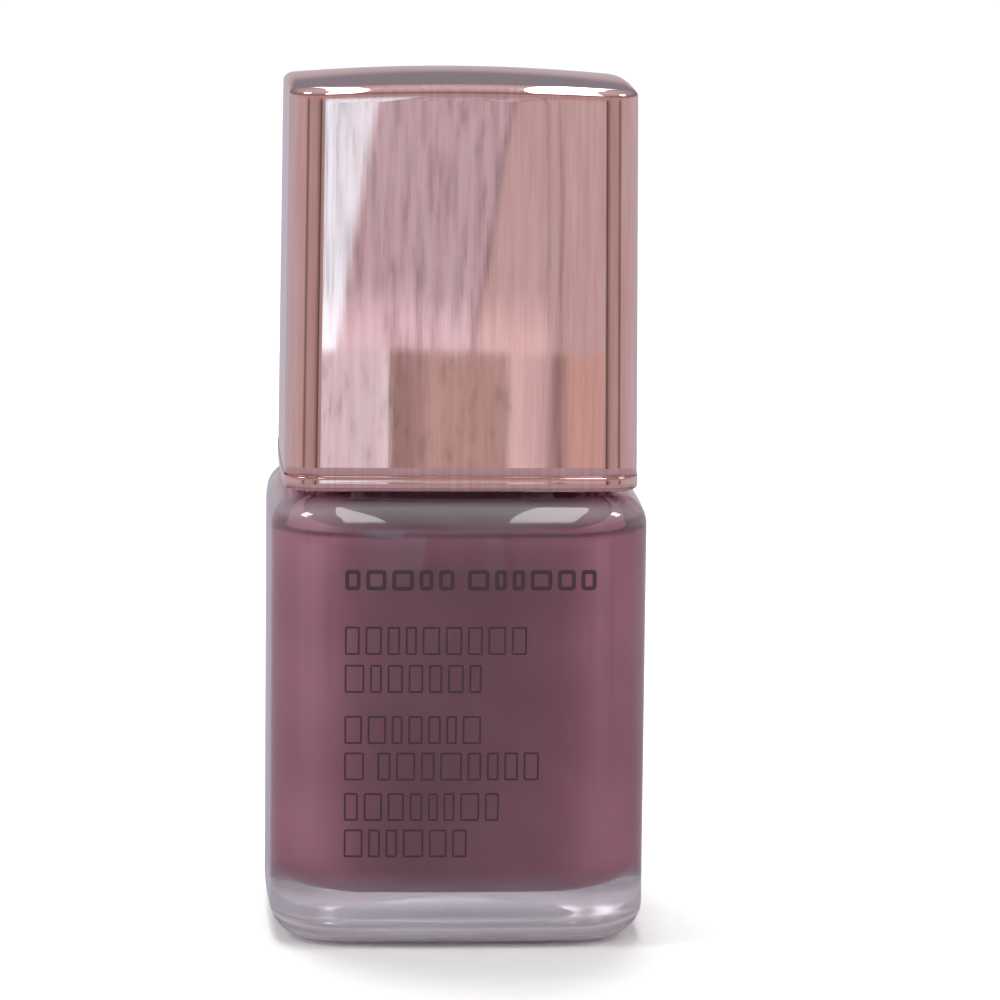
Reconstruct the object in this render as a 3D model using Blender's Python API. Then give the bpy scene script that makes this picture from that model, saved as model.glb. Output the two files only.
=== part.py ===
"""Square glass nail polish bottle with its lacquer, agitator balls, brush and screw cap.

The bottle stands on Z = 0 with its front face towards -Y and its neck, brush and cap on
the Z axis. The brush stem is pressed into the threaded inner cap, and the inner cap is
pressed into the metallised overcap, so all of them leave the bottle together.
"""

import math

import bmesh
import bpy
from mathutils import Matrix

MM = 0.001

# Clearance kept between neighbouring solids.
GAP = 0.3 * MM

# Glass bottle.
BODY_HALF = 14.5 * MM
BODY_HEIGHT = 34.2 * MM
BODY_CORNER = 4.6 * MM
BODY_BOW = 0.45 * MM
HEEL_RADIUS = 2.8 * MM
SHOULDER_RADIUS = 2.2 * MM
WALL = 2.4 * MM
FLOOR = 3.8 * MM
CEILING = BODY_HEIGHT - 2.0 * MM
CAVITY_CORNER = 4.2 * MM
CAVITY_FLOOR_RADIUS = 2.6 * MM
CAVITY_CEILING_RADIUS = 2.0 * MM
PUSH_UP_RADIUS = 10.2 * MM
PUSH_UP_DEPTH = 0.7 * MM

# Neck finish of the common 13-415 size, as plain cylinders.
NECK_RADIUS = 5.75 * MM
NECK_HEIGHT = 11.3 * MM
NECK_TOP = BODY_HEIGHT + NECK_HEIGHT
NECK_FILLET = 0.9 * MM
BEAD_RADIUS = 6.35 * MM
BEAD_HEIGHT = 0.9 * MM
RIM_ROUND = 0.4 * MM
BORE_RADIUS = 3.5 * MM
THREAD_RADIUS = 6.5 * MM

# Lacquer, agitator balls and the sticker under the base.
HEAD_SPACE = 0.6 * MM
BALL_RADIUS = 2.0 * MM
BALL_PLACES = ((5.5 * MM, -6.0 * MM), (-6.5 * MM, 4.5 * MM))
LABEL_RADIUS = 9.0 * MM
LABEL_THICKNESS = 0.15 * MM

# Overcap.
CAP_BOTTOM = BODY_HEIGHT + 0.6 * MM
CAP_TOP = 66.0 * MM
CAP_CROWN = 0.4 * MM
CAP_HALF_BOTTOM = 13.6 * MM
CAP_HALF_TOP = 13.25 * MM
CAP_CORNER = 2.8 * MM
CAP_BOW = 0.15 * MM
CAP_WALL = 1.3 * MM
CAP_TOP_ROUND = 1.0 * MM
CAP_RIM_ROUND = 0.35 * MM
CAP_LIP_HEIGHT = 1.1 * MM
CAP_LIP_STEP = 0.12 * MM
SLEEVE_WALL = 1.0 * MM
SLEEVE_BOTTOM = CAP_BOTTOM + 3.1 * MM
RIB_THICKNESS = 1.0 * MM
RIB_BOTTOM = CAP_BOTTOM + 4.7 * MM

# Threaded inner cap, seal and brush.
INNER_BOTTOM = BODY_HEIGHT + 1.6 * MM
INNER_BORE = THREAD_RADIUS + GAP
INNER_ROOT = 7.9 * MM
INNER_RIB = 0.35 * MM
INNER_RIBS = 16
INNER_CROWN = 1.2 * MM
LINER_THICKNESS = 0.8 * MM
LINER_RADIUS = 6.2 * MM
LINER_BORE = 2.4 * MM
FLANGE_THICKNESS = 1.0 * MM
SPIGOT_RADIUS = 2.0 * MM
SPIGOT_HEIGHT = 4.3 * MM
SOCKET_WALL = 1.3 * MM
STEM_TOP_RADIUS = 1.9 * MM
STEM_END_RADIUS = 1.6 * MM
STEM_END = 21.5 * MM
TUFT_SOCKET_RADIUS = 1.1 * MM
TUFT_SOCKET_TOP = 26.4 * MM
TUFT_WIDEST = 1.55 * MM
TUFT_TIP = 6.6 * MM
ANCHOR_SIZE = (1.5 * MM, 0.4 * MM, 0.8 * MM)

# Heights that follow from the stack on the neck rim.
LINER_BOTTOM = NECK_TOP + GAP
LINER_TOP = LINER_BOTTOM + LINER_THICKNESS
FLANGE_BOTTOM = LINER_TOP + GAP
FLANGE_TOP = FLANGE_BOTTOM + FLANGE_THICKNESS
INNER_CEILING = FLANGE_TOP + GAP
INNER_TOP = INNER_CEILING + INNER_CROWN
SPIGOT_TOP = FLANGE_TOP + SPIGOT_HEIGHT
BOSS_TOP = SPIGOT_TOP + GAP + SOCKET_WALL
BOSS_RADIUS = SPIGOT_RADIUS + GAP + SOCKET_WALL
SLEEVE_BORE = INNER_ROOT + INNER_RIB + GAP
SLEEVE_LEDGE = INNER_TOP + GAP
LEDGE_BORE = BOSS_RADIUS + 1.5 * MM
CAP_EDGE = CAP_TOP - CAP_CROWN
CAP_CEILING = CAP_EDGE - CAP_WALL

# Steps round every loft: each quarter has two half faces and a corner.
FACE_STEPS = 3
CORNER_STEPS = 6
RING_STEPS = 4 * (2 * FACE_STEPS + CORNER_STEPS)
LATHE_STEPS = 32

# Rings of the cap's crown, as shares of its width.
CROWN_SHARES = (0.3, 0.55, 0.8)


def make_material(name, colour, roughness, metallic=0.0, transmission=0.0, ior=1.5):
    """A Principled material; colour is linear red, green and blue."""
    material = bpy.data.materials.new(name)
    material.use_nodes = True
    shader = material.node_tree.nodes["Principled BSDF"]
    shader.inputs["Base Color"].default_value = (*colour, 1.0)
    shader.inputs["Roughness"].default_value = roughness
    shader.inputs["Metallic"].default_value = metallic
    shader.inputs["Transmission Weight"].default_value = transmission
    shader.inputs["IOR"].default_value = ior
    material.diffuse_color = (*colour, 1.0)
    material.roughness = roughness
    material.metallic = metallic
    return material


def square_ring(half, corner, bow, height):
    """A ring round a square with rounded corners whose faces bow out by a small sagitta."""
    core = half - corner
    quarter = []
    for step in range(FACE_STEPS):
        quarter.append((half, core * step / FACE_STEPS))
    for step in range(CORNER_STEPS):
        angle = math.pi / 2 * step / CORNER_STEPS
        quarter.append((core + corner * math.cos(angle), core + corner * math.sin(angle)))
    for step in range(FACE_STEPS):
        quarter.append((core * (1 - step / FACE_STEPS), half))
    pinch = bow / half
    ring = []
    for turn in range(4):
        cosine = round(math.cos(turn * math.pi / 2))
        sine = round(math.sin(turn * math.pi / 2))
        for x, y in quarter:
            bowed_x = x * (1 - pinch * (y / half) ** 2)
            bowed_y = y * (1 - pinch * (x / half) ** 2)
            ring.append((bowed_x * cosine - bowed_y * sine, bowed_x * sine + bowed_y * cosine, height))
    return ring


def round_ring(radius, height, count=RING_STEPS):
    """A circular ring that starts on +X."""
    ring = []
    for step in range(count):
        angle = 2 * math.pi * step / count
        ring.append((radius * math.cos(angle), radius * math.sin(angle), height))
    return ring


def ribbed_ring(root, rib, ribs, height):
    """A ring with flat-topped ribs, four points to each rib."""
    ring = []
    for step in range(4 * ribs):
        angle = 2 * math.pi * step / (4 * ribs)
        radius = root + rib if step % 4 in (1, 2) else root
        ring.append((radius * math.cos(angle), radius * math.sin(angle), height))
    return ring


def quarter_turn(radius, steps):
    """Run and rise of a quarter round, from level to upright, both ends included."""
    places = []
    for step in range(steps + 1):
        angle = math.pi / 2 * step / steps
        places.append((radius * math.sin(angle), radius * (1 - math.cos(angle))))
    return places


def extrude_rings(rings):
    """Fill the first ring, extrude its rim through each next ring and fill the last."""
    mesh = bmesh.new()
    rim = [mesh.verts.new(point) for point in rings[0]]
    mesh.faces.new(rim)
    for ring in rings[1:]:
        edges = [mesh.edges.get((rim[i - 1], rim[i])) for i in range(len(rim))]
        place = {vert: index for index, vert in enumerate(rim)}
        grown = bmesh.ops.extrude_edge_only(mesh, edges=edges)
        new_rim = [None] * len(rim)
        for vert in [item for item in grown["geom"] if isinstance(item, bmesh.types.BMVert)]:
            source = next(e.other_vert(vert) for e in vert.link_edges if e.other_vert(vert) in place)
            new_rim[place[source]] = vert
        for vert, point in zip(new_rim, ring):
            vert.co = point
        rim = new_rim
    mesh.faces.new(rim)
    return mesh


def spin_profile(profile, count=LATHE_STEPS, closed=False):
    """Turn (radius, height) points about Z: a line with both ends on the axis, or a loop."""
    mesh = bmesh.new()
    verts = [mesh.verts.new((radius, 0.0, height)) for radius, height in profile]
    edges = [mesh.edges.new(pair) for pair in zip(verts, verts[1:])]
    if closed:
        edges.append(mesh.edges.new((verts[-1], verts[0])))
    bmesh.ops.spin(
        mesh,
        geom=verts + edges,
        cent=(0.0, 0.0, 0.0),
        axis=(0.0, 0.0, 1.0),
        angle=2 * math.pi,
        steps=count,
        use_merge=True,
    )
    bmesh.ops.remove_doubles(mesh, verts=mesh.verts, dist=0.001 * MM)
    return mesh


def add_object(name, mesh, material, parent, smooth_angle=35.0):
    """Close the bmesh into a named object with outward faces and smooth rounds.

    Every mesh is drawn in the bottle's own frame, so the height of a parent that stands on
    the neck rim is taken off again.
    """
    bmesh.ops.recalc_face_normals(mesh, faces=mesh.faces)
    data = bpy.data.meshes.new(name)
    mesh.to_mesh(data)
    mesh.free()
    data.shade_smooth()
    data.set_sharp_from_angle(angle=math.radians(smooth_angle))
    if material:
        data.materials.append(material)
    made = bpy.data.objects.new(name, data)
    if parent:
        made.parent = parent
        made.location.z = -pivot_height(parent)
    bpy.context.scene.collection.objects.link(made)
    return made


def pivot_height(pivot):
    """World height of a pivot, summed up its chain of parents."""
    height = pivot.location.z
    if pivot.parent:
        height += pivot_height(pivot.parent)
    return height


def add_cutter(name, mesh):
    """An object that only shapes its neighbour and is never part of the product."""
    cutter = add_object(name, mesh, None, None)
    cutter.hide_render = True
    cutter.display_type = "WIRE"
    return cutter


def add_boolean(target, cutter, operation):
    """Join or cut one object with another by Blender's exact solver."""
    modifier = target.modifiers.new(cutter.name, "BOOLEAN")
    modifier.object = cutter
    modifier.operation = operation
    modifier.solver = "EXACT"


def add_pivot(name, height, parent=None):
    """An empty on the Z axis that carries the pieces which move together."""
    pivot = bpy.data.objects.new(name, None)
    pivot.empty_display_size = 5 * MM
    pivot.location = (0.0, 0.0, height)
    pivot.parent = parent
    bpy.context.scene.collection.objects.link(pivot)
    return pivot


def body_ring(inset, height):
    """A ring of the bottle's outline, moved in from its faces."""
    return square_ring(BODY_HALF - inset, BODY_CORNER - inset * 0.8, BODY_BOW, height)


def cavity_ring(inset, height):
    """A ring of the cavity's outline, moved in from its walls. Its corners are rounder than
    the outside ones, as the glass is thickest there."""
    return square_ring(BODY_HALF - WALL - inset, CAVITY_CORNER - inset * 0.8, BODY_BOW, height)


def make_glass_bottle():
    """Heel, walls and shoulder, then the neck, its bore and the cavity, as one skin."""
    rings = [
        round_ring(PUSH_UP_RADIUS - PUSH_UP_DEPTH, PUSH_UP_DEPTH),
        round_ring(PUSH_UP_RADIUS, 0.0),
    ]
    for run, rise in quarter_turn(HEEL_RADIUS, 4):
        rings.append(body_ring(HEEL_RADIUS - run, rise))
    for run, rise in reversed(quarter_turn(SHOULDER_RADIUS, 4)):
        rings.append(body_ring(SHOULDER_RADIUS - run, BODY_HEIGHT - rise))
    for run, rise in quarter_turn(NECK_FILLET, 2):
        rings.append(round_ring(BEAD_RADIUS + NECK_FILLET - run, BODY_HEIGHT + rise))
    bead_top = BODY_HEIGHT + NECK_FILLET + BEAD_HEIGHT
    rings.append(round_ring(BEAD_RADIUS, bead_top))
    rings.append(round_ring(NECK_RADIUS, bead_top + 0.4 * MM))
    rings.append(round_ring(NECK_RADIUS, NECK_TOP - RIM_ROUND))
    rings.append(round_ring(NECK_RADIUS - RIM_ROUND, NECK_TOP))
    rings.append(round_ring(BORE_RADIUS + RIM_ROUND, NECK_TOP))
    rings.append(round_ring(BORE_RADIUS, NECK_TOP - RIM_ROUND))
    throat = 1.3 * MM
    for run, rise in reversed(quarter_turn(throat, 3)):
        rings.append(round_ring(BORE_RADIUS + throat - run, CEILING + rise))
    for run, rise in quarter_turn(CAVITY_CEILING_RADIUS, 3):
        rings.append(cavity_ring(CAVITY_CEILING_RADIUS - run, CEILING - rise))
    for run, rise in reversed(quarter_turn(CAVITY_FLOOR_RADIUS, 3)):
        rings.append(cavity_ring(CAVITY_FLOOR_RADIUS - run, FLOOR + rise))
    return extrude_rings(rings)


def make_lacquer():
    """The fill: the cavity's shape kept one gap inside the glass, up to the head space."""
    rings = []
    for run, rise in quarter_turn(CAVITY_FLOOR_RADIUS, 3):
        rings.append(cavity_ring(GAP + CAVITY_FLOOR_RADIUS - run, FLOOR + GAP + rise))
    level = CEILING - HEAD_SPACE
    for run, rise in reversed(quarter_turn(CAVITY_CEILING_RADIUS, 3)):
        height = CEILING - GAP - rise
        if height < level:
            rings.append(cavity_ring(GAP + CAVITY_CEILING_RADIUS - run, height))
    rings.append(cavity_ring(GAP + CAVITY_CEILING_RADIUS * 0.6, level))
    return extrude_rings(rings)


def make_ball(place, radius):
    """A steel ball that lies on the cavity floor."""
    mesh = bmesh.new()
    bmesh.ops.create_icosphere(mesh, subdivisions=3, radius=radius)
    height = FLOOR + GAP + BALL_RADIUS
    bmesh.ops.translate(mesh, verts=mesh.verts, vec=(place[0], place[1], height))
    return mesh


def make_brush_well():
    """The room that the stem and the tuft take up in the lacquer."""
    radius = STEM_TOP_RADIUS + GAP
    bottom = TUFT_TIP - 2 * GAP
    top = CEILING + 2 * MM
    return spin_profile([(0.0, top), (radius, top), (radius, bottom + 0.8 * MM), (0.0, bottom)], 24)


def make_base_label():
    """A round sticker in the push-up under the base."""
    top = PUSH_UP_DEPTH - GAP
    bottom = top - LABEL_THICKNESS
    return spin_profile([(0.0, top), (LABEL_RADIUS, top), (LABEL_RADIUS, bottom), (0.0, bottom)])


def cap_ring(half, corner, height):
    """A ring of the overcap's outline."""
    return square_ring(half, corner, CAP_BOW, height)


def make_outer_cap():
    """A drafted shell with a low domed crown and, hanging inside it, a stepped sleeve."""
    lip_top = CAP_BOTTOM + CAP_LIP_HEIGHT
    flat = CAP_HALF_TOP - CAP_TOP_ROUND
    rings = []
    for share in CROWN_SHARES:
        half = flat * share
        rings.append(cap_ring(half, half * 0.25, CAP_TOP - CAP_CROWN * share ** 2))
    for run, rise in quarter_turn(CAP_TOP_ROUND, 4):
        inset = CAP_TOP_ROUND - run
        rings.append(cap_ring(CAP_HALF_TOP - inset, CAP_CORNER - inset * 0.8, CAP_EDGE - rise))
    rings.append(cap_ring(CAP_HALF_BOTTOM - CAP_LIP_STEP, CAP_CORNER, lip_top))
    rings.append(cap_ring(CAP_HALF_BOTTOM, CAP_CORNER, lip_top - CAP_LIP_STEP))
    rings.append(cap_ring(CAP_HALF_BOTTOM, CAP_CORNER, CAP_BOTTOM + CAP_RIM_ROUND))
    rings.append(cap_ring(CAP_HALF_BOTTOM - CAP_RIM_ROUND, CAP_CORNER, CAP_BOTTOM))
    inner_corner = CAP_CORNER - CAP_WALL * 0.8
    rings.append(cap_ring(CAP_HALF_BOTTOM - CAP_WALL, inner_corner, CAP_BOTTOM))
    rings.append(cap_ring(CAP_HALF_TOP - CAP_WALL, inner_corner, CAP_CEILING))
    sleeve_outside = SLEEVE_BORE + SLEEVE_WALL
    rings.append(round_ring(sleeve_outside, CAP_CEILING))
    rings.append(round_ring(sleeve_outside, SLEEVE_BOTTOM))
    rings.append(round_ring(SLEEVE_BORE + 0.3 * MM, SLEEVE_BOTTOM))
    rings.append(round_ring(SLEEVE_BORE, SLEEVE_BOTTOM + 0.6 * MM))
    rings.append(round_ring(SLEEVE_BORE, SLEEVE_LEDGE))
    rings.append(round_ring(LEDGE_BORE, SLEEVE_LEDGE))
    rings.append(round_ring(LEDGE_BORE, CAP_CEILING))
    return extrude_rings(rings)


def make_sleeve_ribs():
    """Four webs that tie the sleeve to the middles of the cap's walls and to its roof."""
    mesh = bmesh.new()
    inside = SLEEVE_BORE + SLEEVE_WALL / 2
    outside = CAP_HALF_TOP - CAP_WALL / 2
    roof = CAP_CEILING + CAP_WALL / 2
    for turn in range(4):
        made = bmesh.ops.create_cube(mesh, size=1.0)
        size = (outside - inside, RIB_THICKNESS, roof - RIB_BOTTOM)
        bmesh.ops.scale(mesh, vec=size, verts=made["verts"])
        centre = ((outside + inside) / 2, 0.0, (roof + RIB_BOTTOM) / 2)
        bmesh.ops.translate(mesh, vec=centre, verts=made["verts"])
        quarter = Matrix.Rotation(turn * math.pi / 2, 3, "Z")
        bmesh.ops.rotate(mesh, cent=(0.0, 0.0, 0.0), matrix=quarter, verts=made["verts"])
    return mesh


def make_inner_cap():
    """Closure with grip ribs outside, a plain thread bore and a socket for the brush."""
    count = 4 * INNER_RIBS
    socket = SPIGOT_RADIUS + GAP
    rings = [
        round_ring(BOSS_RADIUS - 0.4 * MM, BOSS_TOP, count),
        round_ring(BOSS_RADIUS, BOSS_TOP - 0.4 * MM, count),
        round_ring(BOSS_RADIUS, INNER_TOP, count),
        round_ring(INNER_ROOT - 0.8 * MM, INNER_TOP, count),
        round_ring(INNER_ROOT, INNER_TOP - 0.8 * MM, count),
        ribbed_ring(INNER_ROOT, INNER_RIB, INNER_RIBS, INNER_TOP - 1.6 * MM),
        ribbed_ring(INNER_ROOT, INNER_RIB, INNER_RIBS, INNER_BOTTOM + 1.2 * MM),
        round_ring(INNER_ROOT, INNER_BOTTOM + 1.0 * MM, count),
        round_ring(INNER_ROOT, INNER_BOTTOM, count),
        round_ring(INNER_BORE + 0.3 * MM, INNER_BOTTOM, count),
        round_ring(INNER_BORE, INNER_BOTTOM + 0.5 * MM, count),
        round_ring(INNER_BORE, INNER_CEILING, count),
        round_ring(socket, INNER_CEILING, count),
        round_ring(socket, SPIGOT_TOP + GAP, count),
    ]
    return extrude_rings(rings)


def make_seal_liner():
    """A flat sealing ring that is squeezed between the neck rim and the brush flange."""
    profile = [
        (LINER_BORE, LINER_BOTTOM),
        (LINER_RADIUS, LINER_BOTTOM),
        (LINER_RADIUS, LINER_TOP),
        (LINER_BORE, LINER_TOP),
    ]
    return spin_profile(profile, 40, closed=True)


def make_brush_stem():
    """Spigot, flange and tapered rod, with a blind socket for the bristles at its end."""
    profile = [
        (0.0, SPIGOT_TOP),
        (SPIGOT_RADIUS - 0.3 * MM, SPIGOT_TOP),
        (SPIGOT_RADIUS, SPIGOT_TOP - 0.3 * MM),
        (SPIGOT_RADIUS, FLANGE_TOP),
        (LINER_RADIUS, FLANGE_TOP),
        (LINER_RADIUS, FLANGE_BOTTOM),
        (STEM_TOP_RADIUS, FLANGE_BOTTOM),
        (STEM_TOP_RADIUS, FLANGE_BOTTOM - 6.0 * MM),
        (STEM_END_RADIUS, STEM_END + 0.2 * MM),
        (STEM_END_RADIUS - 0.2 * MM, STEM_END),
        (TUFT_SOCKET_RADIUS, STEM_END),
        (TUFT_SOCKET_RADIUS, TUFT_SOCKET_TOP),
        (0.0, TUFT_SOCKET_TOP),
    ]
    return spin_profile(profile, 40)


def make_brush_tuft():
    """The bristles as one body: a thin root, a belly and a rounded tip."""
    root = TUFT_SOCKET_RADIUS - GAP
    top = TUFT_SOCKET_TOP - ANCHOR_SIZE[2] - 2 * GAP
    neck = STEM_END - GAP
    profile = [(0.0, top), (root, top), (root, neck), (1.15 * MM, neck - 0.4 * MM)]
    belly_steps = 8
    length = neck - 0.4 * MM - TUFT_TIP
    for step in range(1, belly_steps):
        part = step / belly_steps
        swell = math.sin(math.pi * min(part * 0.62, 1.0))
        radius = 1.15 * MM + (TUFT_WIDEST - 1.15 * MM) * swell
        taper = math.sqrt(max(1 - max(part - 0.75, 0.0) ** 2 / 0.25 ** 2 * 0.75, 0.0))
        profile.append((radius * taper, neck - 0.4 * MM - length * part))
    profile.append((0.0, TUFT_TIP))
    return spin_profile(profile, 28)


def make_tuft_anchor():
    """The flat metal blade that the folded bristles are driven in with."""
    mesh = bmesh.new()
    bmesh.ops.create_cube(mesh, size=1.0)
    bmesh.ops.scale(mesh, vec=ANCHOR_SIZE, verts=mesh.verts)
    height = TUFT_SOCKET_TOP - GAP - ANCHOR_SIZE[2] / 2
    bmesh.ops.translate(mesh, vec=(0.0, 0.0, height), verts=mesh.verts)
    bmesh.ops.bevel(mesh, geom=mesh.edges[:], offset=0.08 * MM, segments=1, affect="EDGES")
    return mesh


def build_bottle_group(pivot):
    """Everything that stays on the table: glass, fill, balls and sticker."""
    glass = make_material("clear_flint_glass", (0.86, 0.88, 0.90), 0.03, transmission=1.0, ior=1.52)
    mauve = make_material("mauve_lacquer", (0.205, 0.068, 0.098), 0.22)
    steel = make_material("polished_steel", (0.60, 0.60, 0.61), 0.15, metallic=1.0)
    paper = make_material("white_paper", (0.80, 0.79, 0.77), 0.65)
    add_object("glass_bottle", make_glass_bottle(), glass, pivot, 40.0)
    lacquer = add_object("lacquer", make_lacquer(), mauve, pivot, 40.0)
    add_boolean(lacquer, add_cutter("brush_well", make_brush_well()), "DIFFERENCE")
    for number, place in enumerate(BALL_PLACES, start=1):
        add_object(f"mixing_ball_{number}", make_ball(place, BALL_RADIUS), steel, pivot)
        pocket = add_cutter(f"ball_pocket_{number}", make_ball(place, BALL_RADIUS + GAP))
        add_boolean(lacquer, pocket, "DIFFERENCE")
    add_object("base_label", make_base_label(), paper, pivot)


def build_cap_group(lift, rise, turn):
    """Everything that leaves with the cap: seal, brush, inner cap and overcap."""
    rose_gold = make_material("rose_gold_metallised", (0.62, 0.31, 0.25), 0.12, metallic=1.0)
    white = make_material("white_polypropylene", (0.78, 0.77, 0.75), 0.40)
    black = make_material("black_polypropylene", (0.020, 0.019, 0.020), 0.38)
    clear = make_material("natural_polyethylene", (0.74, 0.73, 0.70), 0.45)
    nylon = make_material("black_nylon", (0.030, 0.022, 0.024), 0.50)
    brass = make_material("anchor_brass", (0.60, 0.44, 0.20), 0.35, metallic=1.0)
    add_object("seal_liner", make_seal_liner(), clear, lift)
    add_object("brush_stem", make_brush_stem(), black, rise)
    outer = add_object("outer_cap", make_outer_cap(), rose_gold, turn)
    add_boolean(outer, add_cutter("sleeve_ribs", make_sleeve_ribs()), "UNION")
    add_object("inner_cap", make_inner_cap(), white, turn)
    add_object("brush_tuft", make_brush_tuft(), nylon, turn)
    add_object("tuft_anchor", make_tuft_anchor(), brass, turn)


def main():
    for old in list(bpy.data.objects):
        bpy.data.objects.remove(old)
    bottle = add_pivot("bottle_base", 0.0)
    lift = add_pivot("cap_lift_guide", NECK_TOP)
    rise = add_pivot("thread_rise_guide", 0.0, lift)
    turn = add_pivot("cap_turn_axis", 0.0, rise)
    build_bottle_group(bottle)
    build_cap_group(lift, rise, turn)


main()
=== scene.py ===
import math

import bpy
import numpy as np
from mathutils import Matrix, Vector


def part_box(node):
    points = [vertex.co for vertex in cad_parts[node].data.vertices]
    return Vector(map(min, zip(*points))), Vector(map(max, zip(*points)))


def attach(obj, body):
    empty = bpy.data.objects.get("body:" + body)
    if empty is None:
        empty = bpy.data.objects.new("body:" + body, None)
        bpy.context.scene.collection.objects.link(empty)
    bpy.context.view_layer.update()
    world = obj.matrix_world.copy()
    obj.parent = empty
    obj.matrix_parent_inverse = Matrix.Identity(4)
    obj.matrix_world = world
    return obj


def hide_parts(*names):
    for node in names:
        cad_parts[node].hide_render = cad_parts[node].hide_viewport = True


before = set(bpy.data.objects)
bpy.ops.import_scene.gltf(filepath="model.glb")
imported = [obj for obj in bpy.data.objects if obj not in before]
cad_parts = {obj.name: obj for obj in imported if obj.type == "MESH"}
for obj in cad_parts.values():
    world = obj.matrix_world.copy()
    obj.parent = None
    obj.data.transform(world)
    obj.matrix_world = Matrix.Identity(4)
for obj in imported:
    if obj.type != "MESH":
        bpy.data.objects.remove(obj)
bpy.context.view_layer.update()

mm = 0.001
around = 320  # points round each moulded outline, a multiple of 4
faceShare = 0.3  # share of those points that lie on the flat faces of a square outline
sharpAngle = math.radians(40)  # faces that meet at more than this show an edge


# Small tools for meshes.

def joinRows(*rows):
    return np.concatenate([np.atleast_2d(np.asarray(row, float)) for row in rows])


# Quarter round from a to b in (half width, height): it leaves a level and reaches b upright,
# or the other way about. half = a + (b - a) sin t, height = a + (b - a) (1 - cos t).
def quarterRound(a, b, steps, levelFirst=True):
    t = np.linspace(0, math.pi / 2, steps + 1)
    slow, fast = 1 - np.cos(t), np.sin(t)
    first, second = (fast, slow) if levelFirst else (slow, fast)
    return np.stack([a[0] + (b[0] - a[0]) * first, a[1] + (b[1] - a[1]) * second], 1)


def straightRun(a, b, steps):
    t = np.linspace(0, 1, steps + 1)[:, None]
    return np.asarray(a)[None] * (1 - t) + np.asarray(b)[None] * t


# Shares of core and corner for each point of a rounded square, counter-clockwise from +X:
# x = core * ax + corner * bx and y = core * ay + corner * by, where half = core + corner.
def squareShares():
    quarter = around // 4
    face = int(quarter * faceShare / 2)
    bend = quarter - 2 * face
    run = np.arange(face) / face
    turn = np.arange(bend) / bend * math.pi / 2
    xs = (np.concatenate([np.ones(face), np.ones(bend), 1 - run]),
          np.concatenate([np.ones(face), np.cos(turn), np.zeros(face)]))
    ys = (np.concatenate([run, np.ones(bend), np.ones(face)]),
          np.concatenate([np.zeros(face), np.sin(turn), np.ones(face)]))
    sides = []
    for _ in range(4):
        sides.append((xs, ys))
        xs, ys = (-ys[0], -ys[1]), xs
    return [np.concatenate([side[axis][part] for side in sides]) for axis in (0, 1) for part in (0, 1)]


# Rings of rounded squares with bowed faces: every point of the rounded square is drawn in by
# the square of how far along its face it lies, so x' = x (1 - bow/half (y/half)^2).
def squareRings(profile, corner, bow):
    half, height = profile[:, :1], profile[:, 1:]
    corner = np.asarray(corner, float).reshape(-1, 1)
    ax, bx, ay, by = squareShares()
    x, y = (half - corner) * ax + corner * bx, (half - corner) * ay + corner * by
    pinch = bow / half
    x, y = x * (1 - pinch * (y / half) ** 2), y * (1 - pinch * (x / half) ** 2)
    return np.stack([x, y, np.broadcast_to(height, x.shape)], 2)


# Rings turned about Z: radius and height may be one value a ring or one a point.
def turnedRings(radius, height, count=around):
    angle = np.arange(count) / count * 2 * math.pi
    radius, height = np.asarray(radius, float), np.asarray(height, float)
    radius = radius[:, None] if radius.ndim == 1 else radius
    height = height[:, None] if height.ndim == 1 else height
    radius, height = np.broadcast_arrays(radius + 0 * angle, height + 0 * angle)
    return np.stack([radius * np.cos(angle), radius * np.sin(angle), height], 2)


def turnedProfile(profile, count=around):
    return turnedRings(profile[:, 0], profile[:, 1], count)


# Skins over many tubes at once, rings (tubes, rings, around, 3): in each tube every ring joins
# the next with quads, and the first and last rings close on a middle point.
def tubeSkins(rings):
    tubes, count, ringSize = rings.shape[:3]
    index = np.arange(tubes * count * ringSize).reshape(tubes, count, ringSize)
    low, high = index[:, :-1], index[:, 1:]
    quads = np.stack([low, np.roll(low, -1, 2), np.roll(high, -1, 2), high], 3).reshape(-1, 4)
    poles = np.concatenate([rings[:, 0].mean(1), rings[:, -1].mean(1)])
    start = len(rings.reshape(-1, 3)) + np.arange(tubes)[:, None]
    first, last = index[:, 0], index[:, -1]
    starts = np.broadcast_to(start, first.shape)
    fans = [np.stack([starts, np.roll(first, -1, 1), first], 2).reshape(-1, 3),
            np.stack([starts + tubes, last, np.roll(last, -1, 1)], 2).reshape(-1, 3)]
    return np.concatenate([rings.reshape(-1, 3), poles]), quads, np.concatenate(fans)


# One skin over rings (rings, around, 3), which closes like a tube, or joins its last ring to
# its first when the profile is a loop.
def skin(rings, loop=False):
    if not loop:
        return tubeSkins(rings[None])
    index = np.arange(rings[:, :, 0].size).reshape(rings.shape[:2])
    after = np.roll(index, -1, 0)
    quads = np.stack([index, np.roll(index, -1, 1), np.roll(after, -1, 1), after], 2).reshape(-1, 4)
    return rings.reshape(-1, 3), quads, np.zeros((0, 3), int)


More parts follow.
